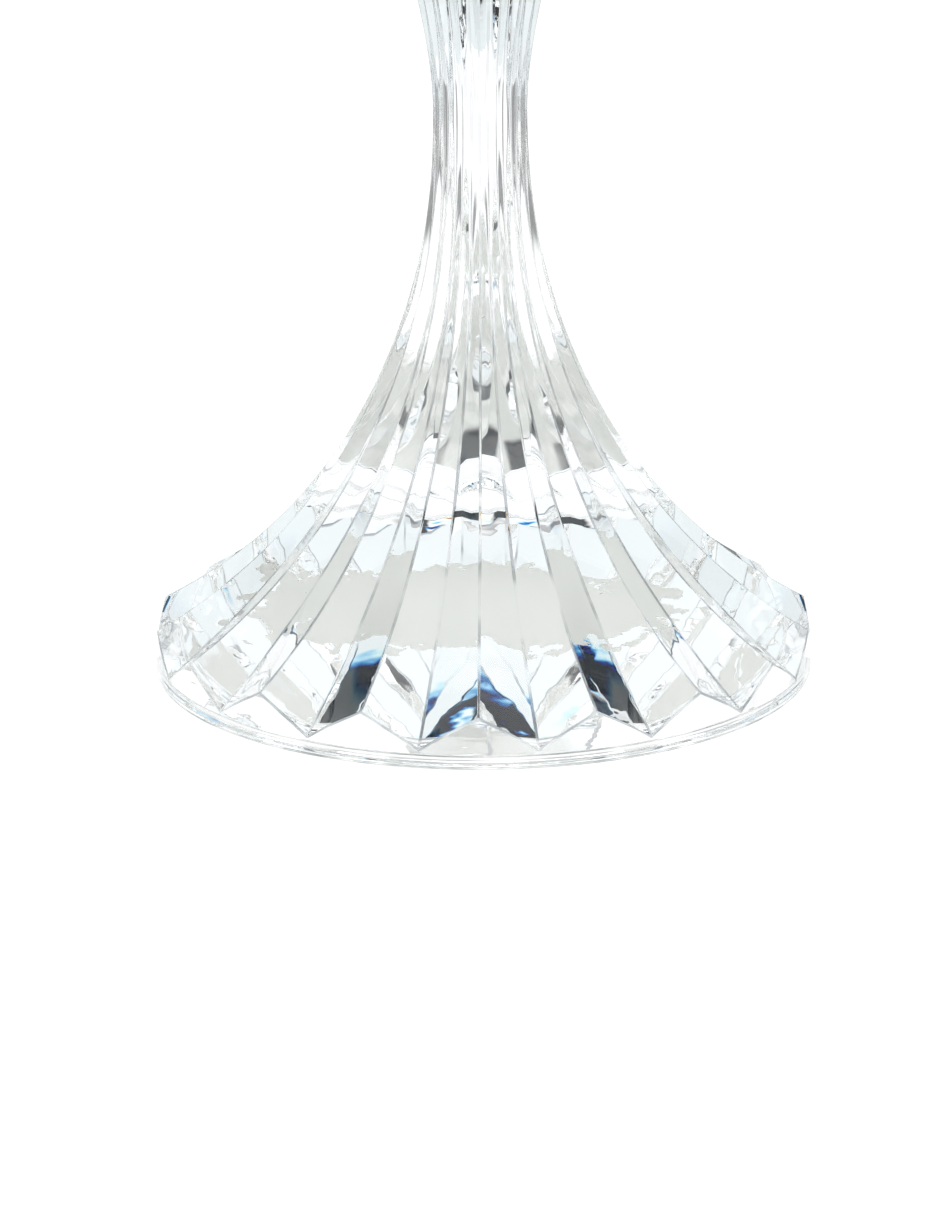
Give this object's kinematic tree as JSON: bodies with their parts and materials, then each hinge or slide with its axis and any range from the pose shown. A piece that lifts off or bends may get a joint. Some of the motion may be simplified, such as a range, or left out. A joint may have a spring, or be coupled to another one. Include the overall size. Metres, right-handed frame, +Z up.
{
  "type": "candlestick",
  "caption": "Pleated clear glass candlestick: wide flared foot, slim fluted stem and small flared cup, with a thin lift-out metal sleeve that holds one taper candle.",
  "frame": {"origin": "centre of the foot's resting face, on the table", "axes": "+Z up along the candlestick's axis, -Y the front, where one ridge of the foot faces forward"},
  "size_m": [0.115, 0.115, 0.178],
  "materials": {
    "crystal": "fire-polished clear crystal",
    "clear_cement": "clear cured adhesive",
    "sleeve_metal": "spun and polished, nickel plated",
    "soft_ring": "milky clear silicone",
    "pad_felt": "self-adhesive off-white felt"
  },
  "bodies": {
    "candlestick": {"foot_and_stem": "crystal", "candle_cup": "crystal", "joint_cement": "clear_cement", "base_pad": "pad_felt"},
    "sleeve": {"candle_sleeve": "sleeve_metal", "sleeve_cushion": "soft_ring"}
  },
  "joints": [
    {"name": "sleeve_lift", "type": "slide", "parent": "candlestick", "child": "sleeve", "axis": [0, 0, 1], "range_m": [0, 0.03]}
  ]
}
